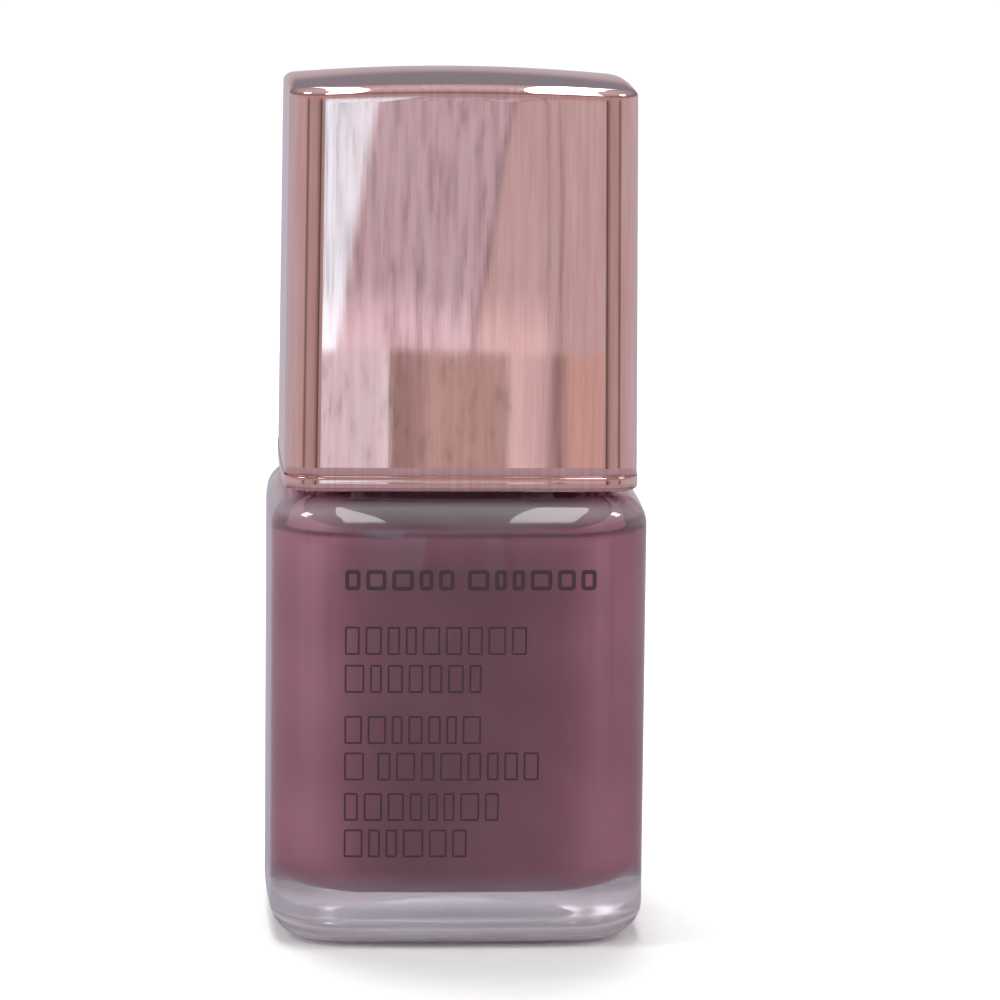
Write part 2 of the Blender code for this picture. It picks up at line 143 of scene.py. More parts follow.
# Puts skins into one object with its material, hangs it under its body, and hides the CAD parts it stands
# for.
def makePiece(name, skins, material, body, stands=()):
    verts = np.concatenate([part[0] for part in skins])
    offsets = np.cumsum([0] + [len(part[0]) for part in skins[:-1]])
    quads = np.concatenate([part[1] + offset for part, offset in zip(skins, offsets)])
    tris = np.concatenate([part[2] + offset for part, offset in zip(skins, offsets)])
    corners = np.concatenate([quads.ravel(), tris.ravel()]).astype(np.int32)
    starts = np.concatenate([np.arange(len(quads)) * 4, len(quads) * 4 + np.arange(len(tris)) * 3])
    mesh = bpy.data.meshes.new(name)
    mesh.vertices.add(len(verts))
    mesh.vertices.foreach_set("co", verts.astype(np.float32).ravel())
    mesh.loops.add(len(corners))
    mesh.loops.foreach_set("vertex_index", corners)
    mesh.polygons.add(len(starts))
    mesh.polygons.foreach_set("loop_start", starts.astype(np.int32))
    mesh.update(calc_edges=True)
    mesh.shade_smooth()
    mesh.set_sharp_from_angle(angle=sharpAngle)
    mesh.materials.append(material)
    piece = bpy.data.objects.new(name, mesh)
    bpy.context.scene.collection.objects.link(piece)
    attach(piece, body)
    if stands:
        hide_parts(*stands)
    print(name, "made:", len(quads) * 2 + len(tris), "triangles")


# Small tools for materials.

# sRGB hex to linear: c / 12.92 below 0.04045, ((c + 0.055) / 1.055)^2.4 above.
def hexColour(code):
    parts = [int(code[i:i + 2], 16) / 255 for i in (1, 3, 5)]
    linear = [p / 12.92 if p <= 0.04045 else ((p + 0.055) / 1.055) ** 2.4 for p in parts]
    return (*linear, 1.0)


# Adds a node: settings are its own properties, inputs are values or other nodes' sockets.
def addNode(tree, kind, inputs=(), **settings):
    node = tree.nodes.new(kind)
    for name, value in settings.items():
        setattr(node, name, value)
    for name, value in dict(inputs).items():
        if isinstance(value, bpy.types.NodeSocket):
            tree.links.new(value, node.inputs[name])
        else:
            node.inputs[name].default_value = value
    return node


# A material with one Principled shader, its plain values set on the shader's own sockets.
def startMaterial(name, **values):
    material = bpy.data.materials.new(name)
    material.use_nodes = True
    tree = material.node_tree
    for key, value in values.items():
        tree.nodes["Principled BSDF"].inputs[key.replace("_", " ")].default_value = value
    return material, tree, addNode(tree, "ShaderNodeTexCoord").outputs["Object"]


# Links worked-out values to the shader's sockets and returns the material.
def finishMaterial(material, **links):
    tree = material.node_tree
    for key, socket in links.items():
        tree.links.new(socket, tree.nodes["Principled BSDF"].inputs[key.replace("_", " ")])
    return material


# Mixes two colours, given as hex or as sockets, by a factor.
def blendColour(tree, factor, a, b):
    a, b = (hexColour(colour) if isinstance(colour, str) else colour for colour in (a, b))
    return addNode(tree, "ShaderNodeMix", {0: factor, 6: a, 7: b}, data_type="RGBA").outputs[2]


# One arithmetic step.
def reckon(tree, operation, *values):
    return addNode(tree, "ShaderNodeMath", dict(enumerate(values)), operation=operation).outputs["Value"]


def times(tree, first, *others):
    for other in others:
        first = reckon(tree, "MULTIPLY", first, other)
    return first


# Spreads the run from start to end over low to high, and holds the ends beyond it.
def spread(tree, value, start, end, low=0.0, high=1.0, kind="LINEAR"):
    inputs = {"Value": value, "From Min": start, "From Max": end, "To Min": low, "To Max": high}
    return addNode(tree, "ShaderNodeMapRange", inputs, interpolation_type=kind).outputs["Result"]


# A ramp over a value with stops of (place, level) or (place, level, colour).
def rampOver(tree, value, stops):
    low, high = stops[0][0], stops[-1][0]
    ramp = addNode(tree, "ShaderNodeValToRGB", {"Fac": spread(tree, value, low, high)})
    elements = ramp.color_ramp.elements
    while len(elements) < len(stops):
        elements.new(0.5)
    for element, (place, level, *colour) in zip(elements, stops):
        element.position = (place - low) / (high - low)
        tint = hexColour(colour[0] if colour else "#FFFFFF")
        element.color = (*(part * level for part in tint[:3]), 1)
    return ramp.outputs["Color"]


# Soft noise from 0 to 1, with cells about 1 / scale wide.
def noise(tree, place, scale=1.0, detail=2.0, roughness=0.5, distortion=0.0):
    inputs = {"Vector": place, "Scale": scale, "Detail": detail, "Roughness": roughness,
              "Distortion": distortion}
    return addNode(tree, "ShaderNodeTexNoise", inputs).outputs["Fac"]


# The place counted in cells of these sizes, for noise that is longer one way than another.
def inCells(tree, place, x, y, z):
    inputs = {"Vector": place, "Scale": (1 / x, 1 / y, 1 / z)}
    return addNode(tree, "ShaderNodeMapping", inputs).outputs["Vector"]


# A bump from a height, which can lie over another one's normal.
def bumped(tree, height, strength, distance, **under):
    inputs = {"Height": height, "Strength": strength, "Distance": distance, **under}
    return addNode(tree, "ShaderNodeBump", inputs).outputs["Normal"]


def heightOf(tree, place):
    return addNode(tree, "ShaderNodeSeparateXYZ", {"Vector": place}).outputs["Z"]


# Glass bottle.

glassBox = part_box("glass_bottle")
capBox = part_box("outer_cap")
bottle = {
    "half": glassBox[1][0] - 0.03 * mm,  # room for the print inside the bottle's box
    "shoulder": capBox[0][2] - 0.6 * mm,
    "corner": 4.6 * mm,
    "bow": 0.45 * mm,
    "heel": 2.8 * mm,
    "shoulderRound": 2.2 * mm,
    "wall": 2.37 * mm,
    "floor": 3.8 * mm,
    "ceilingDrop": 2.0 * mm,
    "cavityCorner": 4.2 * mm,
    "floorRound": 2.6 * mm,
    "ceilingRound": 2.0 * mm,
    "pushUpRadius": 10.2 * mm,
    "pushUpDepth": 0.7 * mm,
    "gripRibs": 80,  # small ribs on the band that it stands on
    "gripDepth": 0.12 * mm,
    # haze and roughness by height: chilled where the glass met the mould, stippled underneath
    "haze": [(0, 0.44), (0.9 * mm, 0.40), (1.8 * mm, 0.13), (3.2 * mm, 0.12), (6.0 * mm, 0.015),
             (32.0 * mm, 0.015), (33.2 * mm, 0.13), (46 * mm, 0.08)],
    "roughness": [(0, 0.42), (0.5 * mm, 0.30), (1.1 * mm, 0.12), (4.0 * mm, 0.09), (6.5 * mm, 0.0),
                  (46 * mm, 0.0)],
    "hazeWander": 1.8 * mm,  # how far the haze's edge wanders up and down
}
neck = {
    "top": glassBox[1][2],
    "radius": 5.75 * mm,
    "bead": 6.35 * mm,
    "beadHeight": 0.9 * mm,
    "fillet": 0.9 * mm,
    "bore": 3.5 * mm,
    "throat": 1.3 * mm,  # round where the bore opens into the cavity
    "pitch": 2.117 * mm,
    "turns": 1.75,
    "threadHeight": 0.62 * mm,
    "threadWidth": 1.05 * mm,
    "threadStart": 4.9 * mm,  # lowest turn, below the neck's top
}
neck["foot"] = bottle["shoulder"] + neck["fillet"] + neck["beadHeight"] + 0.4 * mm


# A corner shrinks by four fifths of what its face moves in.
def cornerAt(inset, corner=bottle["corner"]):
    return np.maximum(corner - inset * 0.8, 0.4 * mm)


# Height of a helical ridge over a plain cylinder, for each ring height and each angle: a bump
# with a flat crest across the ridge, faded in and out over a sixth of a turn at its ends.
def threadRidge(height, lowest, turns, ridgeHeight, width):
    angle = np.arange(around) / around * 2 * math.pi
    ridge = np.zeros((len(height), around))
    for lap in range(int(turns) + 2):
        swept = angle + 2 * math.pi * lap
        centre = lowest + neck["pitch"] * swept / (2 * math.pi)
        off = np.abs(height[:, None] - centre[None]) / (width / 2)
        bump = np.clip(1.25 - 1.25 * off, 0, 1)
        bump = bump * bump * (3 - 2 * bump)
        ends = np.clip(np.minimum(swept, turns * 2 * math.pi - swept) / (0.33 * math.pi), 0, 1)
        ridge = np.maximum(ridge, bump * ridgeHeight * ends * (3 - 2 * ends) * ends)
    return ridge


# The glass from the middle of the push-up outwards: the ribbed standing band, the heel, the
# wall, the shoulder, the neck with its thread, the bore, and last the cavity.
def bottleRings():
    b, n = bottle, neck
    half, top, heel, turn = b["half"], b["shoulder"], b["heel"], b["shoulderRound"]
    punt = joinRows(
        straightRun((1.0 * mm, b["pushUpDepth"]), (b["pushUpRadius"] - 1.2 * mm, b["pushUpDepth"]), 4),
        quarterRound((b["pushUpRadius"] - 0.9 * mm, b["pushUpDepth"]),
                     (b["pushUpRadius"], 0.12 * mm), 5),
    )
    stand = straightRun((half - heel - 1.0 * mm, 0), (half - heel, 0), 2)
    standRings = squareRings(stand, cornerAt(half - stand[:, 0]), b["bow"])
    innerEdge = turnedRings([b["pushUpRadius"] + 0.25 * mm], [0.0])
    grip = np.concatenate([innerEdge + (standRings[:1] - innerEdge) * t for t in np.linspace(0, 1, 5)])
    wave = 0.5 - 0.5 * np.cos(np.arange(around) * 2 * math.pi * b["gripRibs"] / around)
    swell = np.sin(np.linspace(0, math.pi, 5))[:, None]
    grip[:, :, 2] += wave[None] * swell * b["gripDepth"]
    outer = joinRows(
        quarterRound((half - heel, 0), (half, heel), 12)[1:],
        straightRun((half, heel), (half, top - turn), 10)[1:],
        quarterRound((half, top - turn), (half - turn, top), 12, False)[1:],
        [[half - turn - 0.6 * mm, top]],
    )
    collar = joinRows(
        quarterRound((n["bead"] + n["fillet"], top), (n["bead"], top + n["fillet"]), 5),
        quarterRound((n["bead"], top + n["fillet"] + n["beadHeight"]), (n["radius"], n["foot"]), 5, False),
    )
    rise = np.linspace(n["foot"] + 0.1 * mm, n["top"] - 0.5 * mm, 84)
    ridge = threadRidge(rise, n["top"] - n["threadStart"], n["turns"], n["threadHeight"], n["threadWidth"])
    bore, throat, lipRound = n["bore"], n["throat"], 0.4 * mm
    ceiling = top - b["ceilingDrop"]
    lip = joinRows(
        quarterRound((n["radius"], n["top"] - lipRound), (n["radius"] - lipRound, n["top"]), 5, False),
        quarterRound((bore + lipRound, n["top"]), (bore, n["top"] - lipRound), 5),
        straightRun((bore, n["top"] - lipRound), (bore, ceiling + throat), 6)[1:],
        quarterRound((bore, ceiling + throat), (bore + throat, ceiling), 6, False)[1:],
    )
    return np.concatenate([
        turnedProfile(punt), grip, standRings[1:],
        squareRings(outer, cornerAt(half - outer[:, 0]), b["bow"]),
        turnedProfile(collar), turnedRings(n["radius"] + ridge, rise), turnedProfile(lip), cavityRings(0.0),
    ])


# The cavity from its ceiling down to its floor, grown outwards by a small amount.
def cavityRings(grow):
    b = bottle
    half = b["half"] - b["wall"] + grow
    ceiling, floor = b["shoulder"] - b["ceilingDrop"] + grow, b["floor"] - grow
    upper, lower = ceiling - b["ceilingRound"], floor + b["floorRound"]
    inside = joinRows(
        quarterRound((half - b["ceilingRound"], ceiling), (half, upper), 9),
        straightRun((half, upper), (half, lower), 8)[1:],
        quarterRound((half, lower), (half - b["floorRound"], floor), 9, False)[1:],
        [[half * 0.5, floor]],
    )
    return squareRings(inside, cornerAt(half - inside[:, 0], b["cavityCorner"]), b["bow"])


# Soda-lime flint glass, pressed and fire polished: clear in the wall, hazy at the heel and the
# shoulder, rough under the base, with a faint waviness that bends what is seen through it.
def flintGlass():
    material, tree, place = startMaterial(
        "flint glass, pressed and fire polished", IOR=1.52, Base_Color=hexColour("#F1EFF6"))
    height = heightOf(tree, place)
    mottle = noise(tree, inCells(tree, place, 9 * mm, 9 * mm, 1.6 * mm), detail=3.0)
    uneven = reckon(tree, "MULTIPLY_ADD", reckon(tree, "SUBTRACT", mottle, 0.5), bottle["hazeWander"], height)
    wave = noise(tree, place, 1 / (9 * mm), 1.0)
    return finishMaterial(
        material,
        Transmission_Weight=reckon(tree, "SUBTRACT", 1.0, rampOver(tree, uneven, bottle["haze"])),
        Roughness=rampOver(tree, height, bottle["roughness"]),
        Normal=bumped(tree, wave, 0.12, 0.3 * mm))


makePiece("clear_bottle", [skin(bottleRings())], flintGlass(), "bottle", ["glass_bottle"])


# Lacquer.

lacquer = {
    "wetting": 0.03 * mm,  # how far it reaches into the glass, so that no air shows between them
    "headSpace": 0.7 * mm,
    "meniscus": 0.35 * mm,
    "film": 0.13 * mm,  # what clings to the ceiling and inside the neck
    "filmTop": 4.0 * mm,  # it ends this far under the neck's top
    "colour": "#97586A",
    "light": "#A86A78",
    "thin": "#84495A",  # a wet coat of it over something dark
}


# The fill: the cavity's own rings turned bottom up, with a level top that climbs the wall
# by a meniscus, height = level + rise * exp(-distance / reach).
def lacquerRings():
    wall = cavityRings(lacquer["wetting"])[::-1]
    level = bottle["shoulder"] - bottle["ceilingDrop"] - lacquer["headSpace"]
    wet = wall[wall[:, 0, 2] < level + lacquer["meniscus"] * 0.6]
    edge = wet[-1].copy()
    edge[:, 2] = level + lacquer["meniscus"]
    share = np.array([1.0, 0.985, 0.96, 0.92, 0.85, 0.5])[:, None, None]
    top = edge[None] * share
    away = (1 - share[:, :, 0]) * bottle["half"]
    top[:, :, 2] = level + lacquer["meniscus"] * np.exp(-away / (0.45 * mm))
    return np.concatenate([wet, top])


# The film that shaking leaves above the fill: up the wall, over the ceiling, through the throat
# and up the bore, and back down the same way moved in by the film's thickness.
def filmRings():
    b, n = bottle, neck
    level = b["shoulder"] - b["ceilingDrop"] - lacquer["headSpace"]
    both = []
    for grow in (lacquer["wetting"], lacquer["wetting"] - lacquer["film"]):
        ceiling = b["shoulder"] - b["ceilingDrop"] + grow
        wall = cavityRings(grow)[::-1]
        wall = wall[wall[:, 0, 2] > level - 0.3 * mm]
        upper = joinRows(
            quarterRound((n["bore"] + n["throat"], ceiling), (n["bore"] + grow, ceiling + n["throat"]), 6),
            straightRun((n["bore"] + grow, ceiling + n["throat"]),
                        (n["bore"] + grow, n["top"] - lacquer["filmTop"]), 6)[1:],
        )
        both.append(np.concatenate([wall, turnedProfile(upper)]))
    return np.concatenate([both[0], both[1][::-1]])


# Nitrocellulose nail lacquer, a poured cream: an opaque pigmented gloss liquid whose colour is
# a little lighter where the pigment has clouded.
def creamLacquer():
    material, tree, place = startMaterial(
        "nitrocellulose lacquer, cream, poured", Roughness=0.30, IOR=1.47, Specular_IOR_Level=0.15)
    cloud = spread(tree, noise(tree, place, 1 / (11 * mm), 3.0), 0.35, 0.7)
    return finishMaterial(material, Base_Color=blendColour(tree, cloud, lacquer["colour"], lacquer["light"]))


makePiece("mauve_lacquer", [skin(lacquerRings()), skin(filmRings(), loop=True)], creamLacquer(), "bottle",
          ["lacquer"])


# Agitator balls and base sticker.

ballBoxes = [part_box("mixing_ball_1"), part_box("mixing_ball_2")]
sticker = {"box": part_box("base_label"), "swatch": 3.2 * mm, "ring": 7.6 * mm, "ringWidth": 0.35 * mm}


# A sphere from rings of latitude: radius r sin t, height -r cos t.
def ballRings(low, high):
    centre, radius = (np.array(low) + np.array(high)) / 2, (high[2] - low[2]) / 2
    t = np.linspace(0.06, math.pi - 0.06, 25)
    return turnedRings(radius * np.sin(t), -radius * np.cos(t), 40) + centre


# Stainless steel, tumbled and polished: a bright metal with fine tumbling marks.
def polishedSteel():
    material, tree, place = startMaterial(
        "stainless steel, tumbled and polished", Metallic=1.0, Base_Color=hexColour("#C9CACC"))
    marks = noise(tree, place, 1 / (0.4 * mm), 4.0)
    return finishMaterial(material, Roughness=spread(tree, marks, 0, 1, 0.08, 0.22))


def stickerRings():
    low, high = sticker["box"]
    radius, edge = high[0], 0.03 * mm
    profile = joinRows(
        [[radius * 0.5, low[2]], [radius - edge, low[2]]],
        quarterRound((radius - edge, low[2]), (radius, low[2] + edge), 3)[1:],
        quarterRound((radius, high[2] - edge), (radius - edge, high[2]), 3, False),
        [[radius * 0.5, high[2]]],
    )
    return turnedProfile(profile, 96)


# Coated paper, printed: white stock with a ring and a round swatch in the lacquer's colour.
def printedPaper():
    material, tree, place = startMaterial("coated paper, printed", Roughness=0.55)
    flat = addNode(tree, "ShaderNodeVectorMath", {0: place, 1: (1, 1, 0)}, operation="MULTIPLY")
    reach = addNode(tree, "ShaderNodeVectorMath", {0: flat.outputs["Vector"]}, operation="LENGTH")
    swatch = reckon(tree, "LESS_THAN", reach.outputs["Value"], sticker["swatch"])
    ring = reckon(tree, "COMPARE", reach.outputs["Value"], sticker["ring"], sticker["ringWidth"])
    stock = blendColour(tree, noise(tree, place, 1 / (0.5 * mm), 5.0), "#ECEAE4", "#F7F6F2")
    inked = blendColour(tree, ring, stock, "#3B2A30")
    return finishMaterial(material, Base_Color=blendColour(tree, swatch, inked, lacquer["colour"]))


steel = polishedSteel()
for number, (low, high) in enumerate(ballBoxes, start=1):
    makePiece(f"agitator_ball_{number}", [skin(ballRings(low, high))], steel, "bottle",
              [f"mixing_ball_{number}"])
makePiece("shade_sticker", [skin(stickerRings())], printedPaper(), "bottle", ["base_label"])


# Print on the front face: rows of plain upright blocks in place of the words.

inkPrint = {
    "left": -8.8 * mm,
    "thickness": 0.02 * mm,
    "gap": 0.42 * mm,  # between blocks
    "space": 1.0 * mm,  # between words
    "narrow": 0.75 * mm,
    "wide": 1.5 * mm,
    "seed": 11,
    # each row in mm: height of its middle, height of its blocks, their stroke, its words' widths
    "rows": [
        (28.3, 1.55, 0.30, (8.2, 9.7)),
        (23.7, 2.15, 0.15, (13.7,)),
        (20.8, 2.15, 0.15, (10.3,)),
        (16.9, 2.15, 0.15, (10.3,)),
        (14.1, 2.15, 0.15, (1.5, 12.2)),
        (11.0, 2.15, 0.15, (11.7,)),
        (8.2, 2.15, 0.15, (9.3,)),
    ],
}


# Depth of the bowed front face at x: y = -half (1 - bow/half (x/half)^2).
def frontFace(x):
    b = bottle
    return -b["half"] * (1 - b["bow"] / b["half"] * (x / b["half"]) ** 2)


# Outlines of rounded boxes, one a row: each corner is a quarter circle of radius r, and every
# stretch between two points is halved so that the sides follow the bowed face.
def roundedBoxes(x0, x1, z0, z1, r, steps=4):
    turn = np.arange(steps) / (steps - 1) * math.pi / 2
    parts = []
    for side in range(4):
        cornerX = ((x1, x0, x0, x1)[side] - r * (1, -1, -1, 1)[side])[:, None]
        cornerZ = ((z1, z1, z0, z0)[side] - r * (1, 1, -1, -1)[side])[:, None]
        angle = turn + side * math.pi / 2
        parts.append(np.stack([cornerX + r * np.cos(angle), cornerZ + r * np.sin(angle)], 2))
    corners = np.concatenate(parts, 1)
    middle = (corners + np.roll(corners, -1, 1)) / 2
    return np.stack([corners, middle], 2).reshape(len(x0), -1, 2)


# Ink films on the face: an outer and an inner outline for each block, from just inside the
# glass out to the ink's surface, joined as a closed loop of four rings.
def inkBlocks(x0, x1, z0, z1, stroke):
    outer = roundedBoxes(x0, x1, z0, z1, stroke * 0.9)
    inner = roundedBoxes(x0 + stroke, x1 - stroke, z0 + stroke, z1 - stroke, stroke * 0.3)
    buried, proud = 0.008 * mm, inkPrint["thickness"]
    skins = []
    for block in range(len(x0)):
        rings = []
        for loop, lift in ((inner, -buried), (outer, -buried), (outer, proud), (inner, proud)):
            x, z = loop[block, :, 0], loop[block, :, 1]
            rings.append(np.stack([x, frontFace(x) - lift, z], 1)[::-1])
        skins.append(skin(np.stack(rings), loop=True))
    return skins


# Cuts each word into blocks of uneven widths: widths drawn at random, then scaled to fill it.
def frontPrint():
    random = np.random.default_rng(inkPrint["seed"])
    skins = []
    for middle, height, stroke, words in inkPrint["rows"]:
        start = inkPrint["left"]
        for word in words:
            pitch = (inkPrint["narrow"] + inkPrint["wide"]) / 2 + inkPrint["gap"]
            count = max(round(word * mm / pitch), 1)
            widths = random.uniform(inkPrint["narrow"], inkPrint["wide"], count)
            widths *= (word * mm - inkPrint["gap"] * (count - 1)) / widths.sum()
            x0 = start + np.cumsum(widths + inkPrint["gap"]) - widths - inkPrint["gap"]
            z0 = np.full(count, (middle - height / 2) * mm)
            skins += inkBlocks(x0, x0 + widths, z0, z0 + height * mm, stroke * mm)
            start += word * mm + inkPrint["space"]
    return skins


# Screen ink, cured: a thin dark satin film, slightly broken by the mesh it was pushed through.
def screenInk():
    material, tree, place = startMaterial("screen ink, printed and cured", Roughness=0.45)
    weave = noise(tree, place, 1 / (0.15 * mm))
    return finishMaterial(material, Base_Color=blendColour(tree, weave, "#2E1A22", "#472B36"))


makePiece("front_print", frontPrint(), screenInk(), "bottle")


# Overcap.

# Heights of what is stacked on the neck, from the seal upwards.
sealBox, stemBox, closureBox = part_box("seal_liner"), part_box("brush_stem"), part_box("inner_cap")
stack = {"flangeBottom": sealBox[1][2] + 0.3 * mm}
stack["flangeTop"] = stack["flangeBottom"] + 1.0 * mm
stack["ceiling"] = stack["flangeTop"] + 0.3 * mm
stack["deck"] = stack["ceiling"] + 1.2 * mm

overcap = {
    "bottom": capBox[0][2],
    "top": capBox[1][2],
    "halfBottom": capBox[1][0] - 0.10 * mm,
    "halfTop": capBox[1][0] - 0.42 * mm,
    "dome": 126 * mm,  # radius of the low dome that its top is cut from
    "domeReach": 6 * mm,  # the walls are drawn down with the dome over this height
    "corner": 2.65 * mm,
    "bow": 0.15 * mm,
    "wall": 1.3 * mm,
    "topRound": 0.8 * mm,
    "rimRound": 0.35 * mm,
    "lipHeight": 1.1 * mm,
    "lipStep": 0.05 * mm,
    "lipGroove": 0.28 * mm,
    "lipGap": 0.11 * mm,
    "sleeveBore": 8.55 * mm,
    "sleeveWall": 1.0 * mm,
    "sleeveDrop": 3.1 * mm,  # the sleeve and its webs start this far above the rim
    "webDrop": 4.7 * mm,
    "ledge": stack["deck"] + 0.3 * mm,
    "ledgeBore": 5.1 * mm,
    "webWidth": 1.0 * mm,
}


# The overcap from the roof inside the sleeve, round its mouth, up and down the inside walls,
# over the rim and up outside. Its top is a soft pillow: every height there falls by
# (x^2 + y^2 - x^2 y^2 / (3 half^2)) / (2 radius), and the top of the walls is drawn down with it.
def overcapRings():
    c = overcap
    edge, bottom, inBore, top, foot = c["top"], c["bottom"], c["sleeveBore"], c["halfTop"], c["halfBottom"]
    ceiling = edge - c["wall"] - 0.4 * mm
    sleeveBottom = bottom + c["sleeveDrop"]
    outBore = inBore + c["sleeveWall"]
    sleeve = joinRows(
        [[c["ledgeBore"] * 0.5, ceiling], [c["ledgeBore"], ceiling], [c["ledgeBore"], c["ledge"]]],
        [[inBore, c["ledge"]]],
        quarterRound((inBore, sleeveBottom + 0.6 * mm), (inBore + 0.4 * mm, sleeveBottom), 4, False),
        quarterRound((outBore - 0.2 * mm, sleeveBottom), (outBore, sleeveBottom + 0.2 * mm), 3),
        quarterRound((outBore, ceiling - 0.5 * mm), (outBore + 0.5 * mm, ceiling), 4, False),
    )
    inTop, inFoot = top - c["wall"], foot - c["wall"]
    inner = joinRows(
        quarterRound((inTop - 0.5 * mm, ceiling), (inTop, ceiling - 0.5 * mm), 4),
        straightRun((inTop, ceiling - 0.5 * mm), (inFoot, bottom + 0.25 * mm), 8)[1:],
        quarterRound((inFoot, bottom + 0.25 * mm), (inFoot + 0.25 * mm, bottom), 4, False)[1:],
    )
    lipTop, soft = bottom + c["lipHeight"], 0.04 * mm
    wallFoot, wallTop = lipTop + c["lipGap"], edge - c["topRound"]
    groove, wall, flat = foot - c["lipGroove"], foot - c["lipStep"], top - c["topRound"]
    outer = joinRows(
        quarterRound((foot - c["rimRound"], bottom), (foot, bottom + c["rimRound"]), 6),
        straightRun((foot, bottom + c["rimRound"]), (foot, lipTop - soft), 2)[1:],
        quarterRound((foot, lipTop - soft), (foot - soft, lipTop), 3, False)[1:],
        [[groove, lipTop], [groove, wallFoot]],
        quarterRound((wall - soft, wallFoot), (wall, wallFoot + soft), 3),
        straightRun((wall, wallFoot + soft), (top, wallTop), 40)[1:],
        quarterRound((top, wallTop), (flat, edge), 10, False)[1:],
        np.stack([flat * np.linspace(0.94, 0.04, 12), np.full(12, edge)], 1),
    )
    innerCorner = c["corner"] - c["wall"] * 0.8
    outerCorner = c["corner"] - np.maximum(top - outer[:, 0], 0) * 0.8
    outerCorner = np.minimum(np.maximum(outerCorner, 1.2 * mm), outer[:, 0] * 0.5)
    outside = squareRings(outer, outerCorner, c["bow"])
    reach = np.clip((outside[:, :, 2] - edge + c["domeReach"]) / c["domeReach"], 0, 1)
    xx, yy = outside[:, :, 0] ** 2, outside[:, :, 1] ** 2
    outside[:, :, 2] -= (xx + yy - xx * yy / (3 * top ** 2)) / (2 * c["dome"]) * reach ** 2
    return np.concatenate([turnedProfile(sleeve), squareRings(inner, innerCorner, c["bow"]), outside])


# Four webs from the sleeve to the walls, each a bar with rounded sides that climbs to the roof.
def webSkins():
    c = overcap
    start, end = c["sleeveBore"] + c["sleeveWall"] * 0.5, c["halfTop"] - c["wall"] * 0.5
    middle, halfLength = (start + end) / 2, (end - start) / 2
    t = np.arange(24) / 24 * 2 * math.pi
    x = np.clip(np.cos(t) * 1.6, -1, 1) * halfLength + middle
    y = np.clip(np.sin(t) * 1.6, -1, 1) * c["webWidth"] / 2
    heights = np.array([c["bottom"] + c["webDrop"], c["top"] - c["wall"] - 0.2 * mm])
    skins = []
    for side in range(4):
        turn = side * math.pi / 2
        bx, by = x * math.cos(turn) - y * math.sin(turn), x * math.sin(turn) + y * math.cos(turn)
        rings = np.stack([np.stack([bx, by, np.full(24, height)], 1) for height in heights])
        skins.append(skin(rings))
    return skins


# ABS, vacuum metallised and top-lacquered in rose gold: a mirror tinted by its lacquer, whose
# long faces keep faint upright streaks from the tool, drawn coarser than real so that they show.
# The streaks set roughness and bump, and also carry a painted sheen: along them the base colour
# turns a paler rose, standing in for whitish reflection streaks.
def roseGoldMetallised():
    material, tree, place = startMaterial(
        "ABS, vacuum metallised, rose-gold lacquered",
        Metallic=1.0, Coat_Weight=0.25, Coat_Roughness=0.02)
    streakAndSheen = noise(tree, inCells(tree, place, 0.45 * mm, 0.45 * mm, 9 * mm), 1.0, 3.0, 0.6)
    swell = noise(tree, place, 1 / (13 * mm), 1.0)
    wide = bumped(tree, swell, 0.02, 0.3 * mm)
    return finishMaterial(
        material,
        Roughness=spread(tree, streakAndSheen, 0.3, 0.7, 0.012, 0.03),
        # painted sheen: the streaks turn the metal from rose to a paler rose, in place of reflected light
        Base_Color=blendColour(tree, spread(tree, streakAndSheen, 0.3, 0.7), "#E8B4AE", "#F3C8C3"),
        Normal=bumped(tree, streakAndSheen, 0.3, 0.0007 * mm, Normal=wide))


makePiece("rose_gold_overcap", [skin(overcapRings())] + webSkins(), roseGoldMetallised(), "cap",
          ["outer_cap"])


# Inner cap.

closure = {
    "box": closureBox,
    "bore": 6.8 * mm,
    "root": 7.9 * mm,
    "rib": 0.35 * mm,
    "ribs": 40,
    "bossRadius": 3.6 * mm,
    "ceiling": stack["ceiling"],
    "crown": stack["deck"],
    "socket": 2.05 * mm,
    "socketTop": stemBox[1][2] + 0.3 * mm,
    "threadHeight": 0.62 * mm,
    "threadWidth": 0.8 * mm,
}


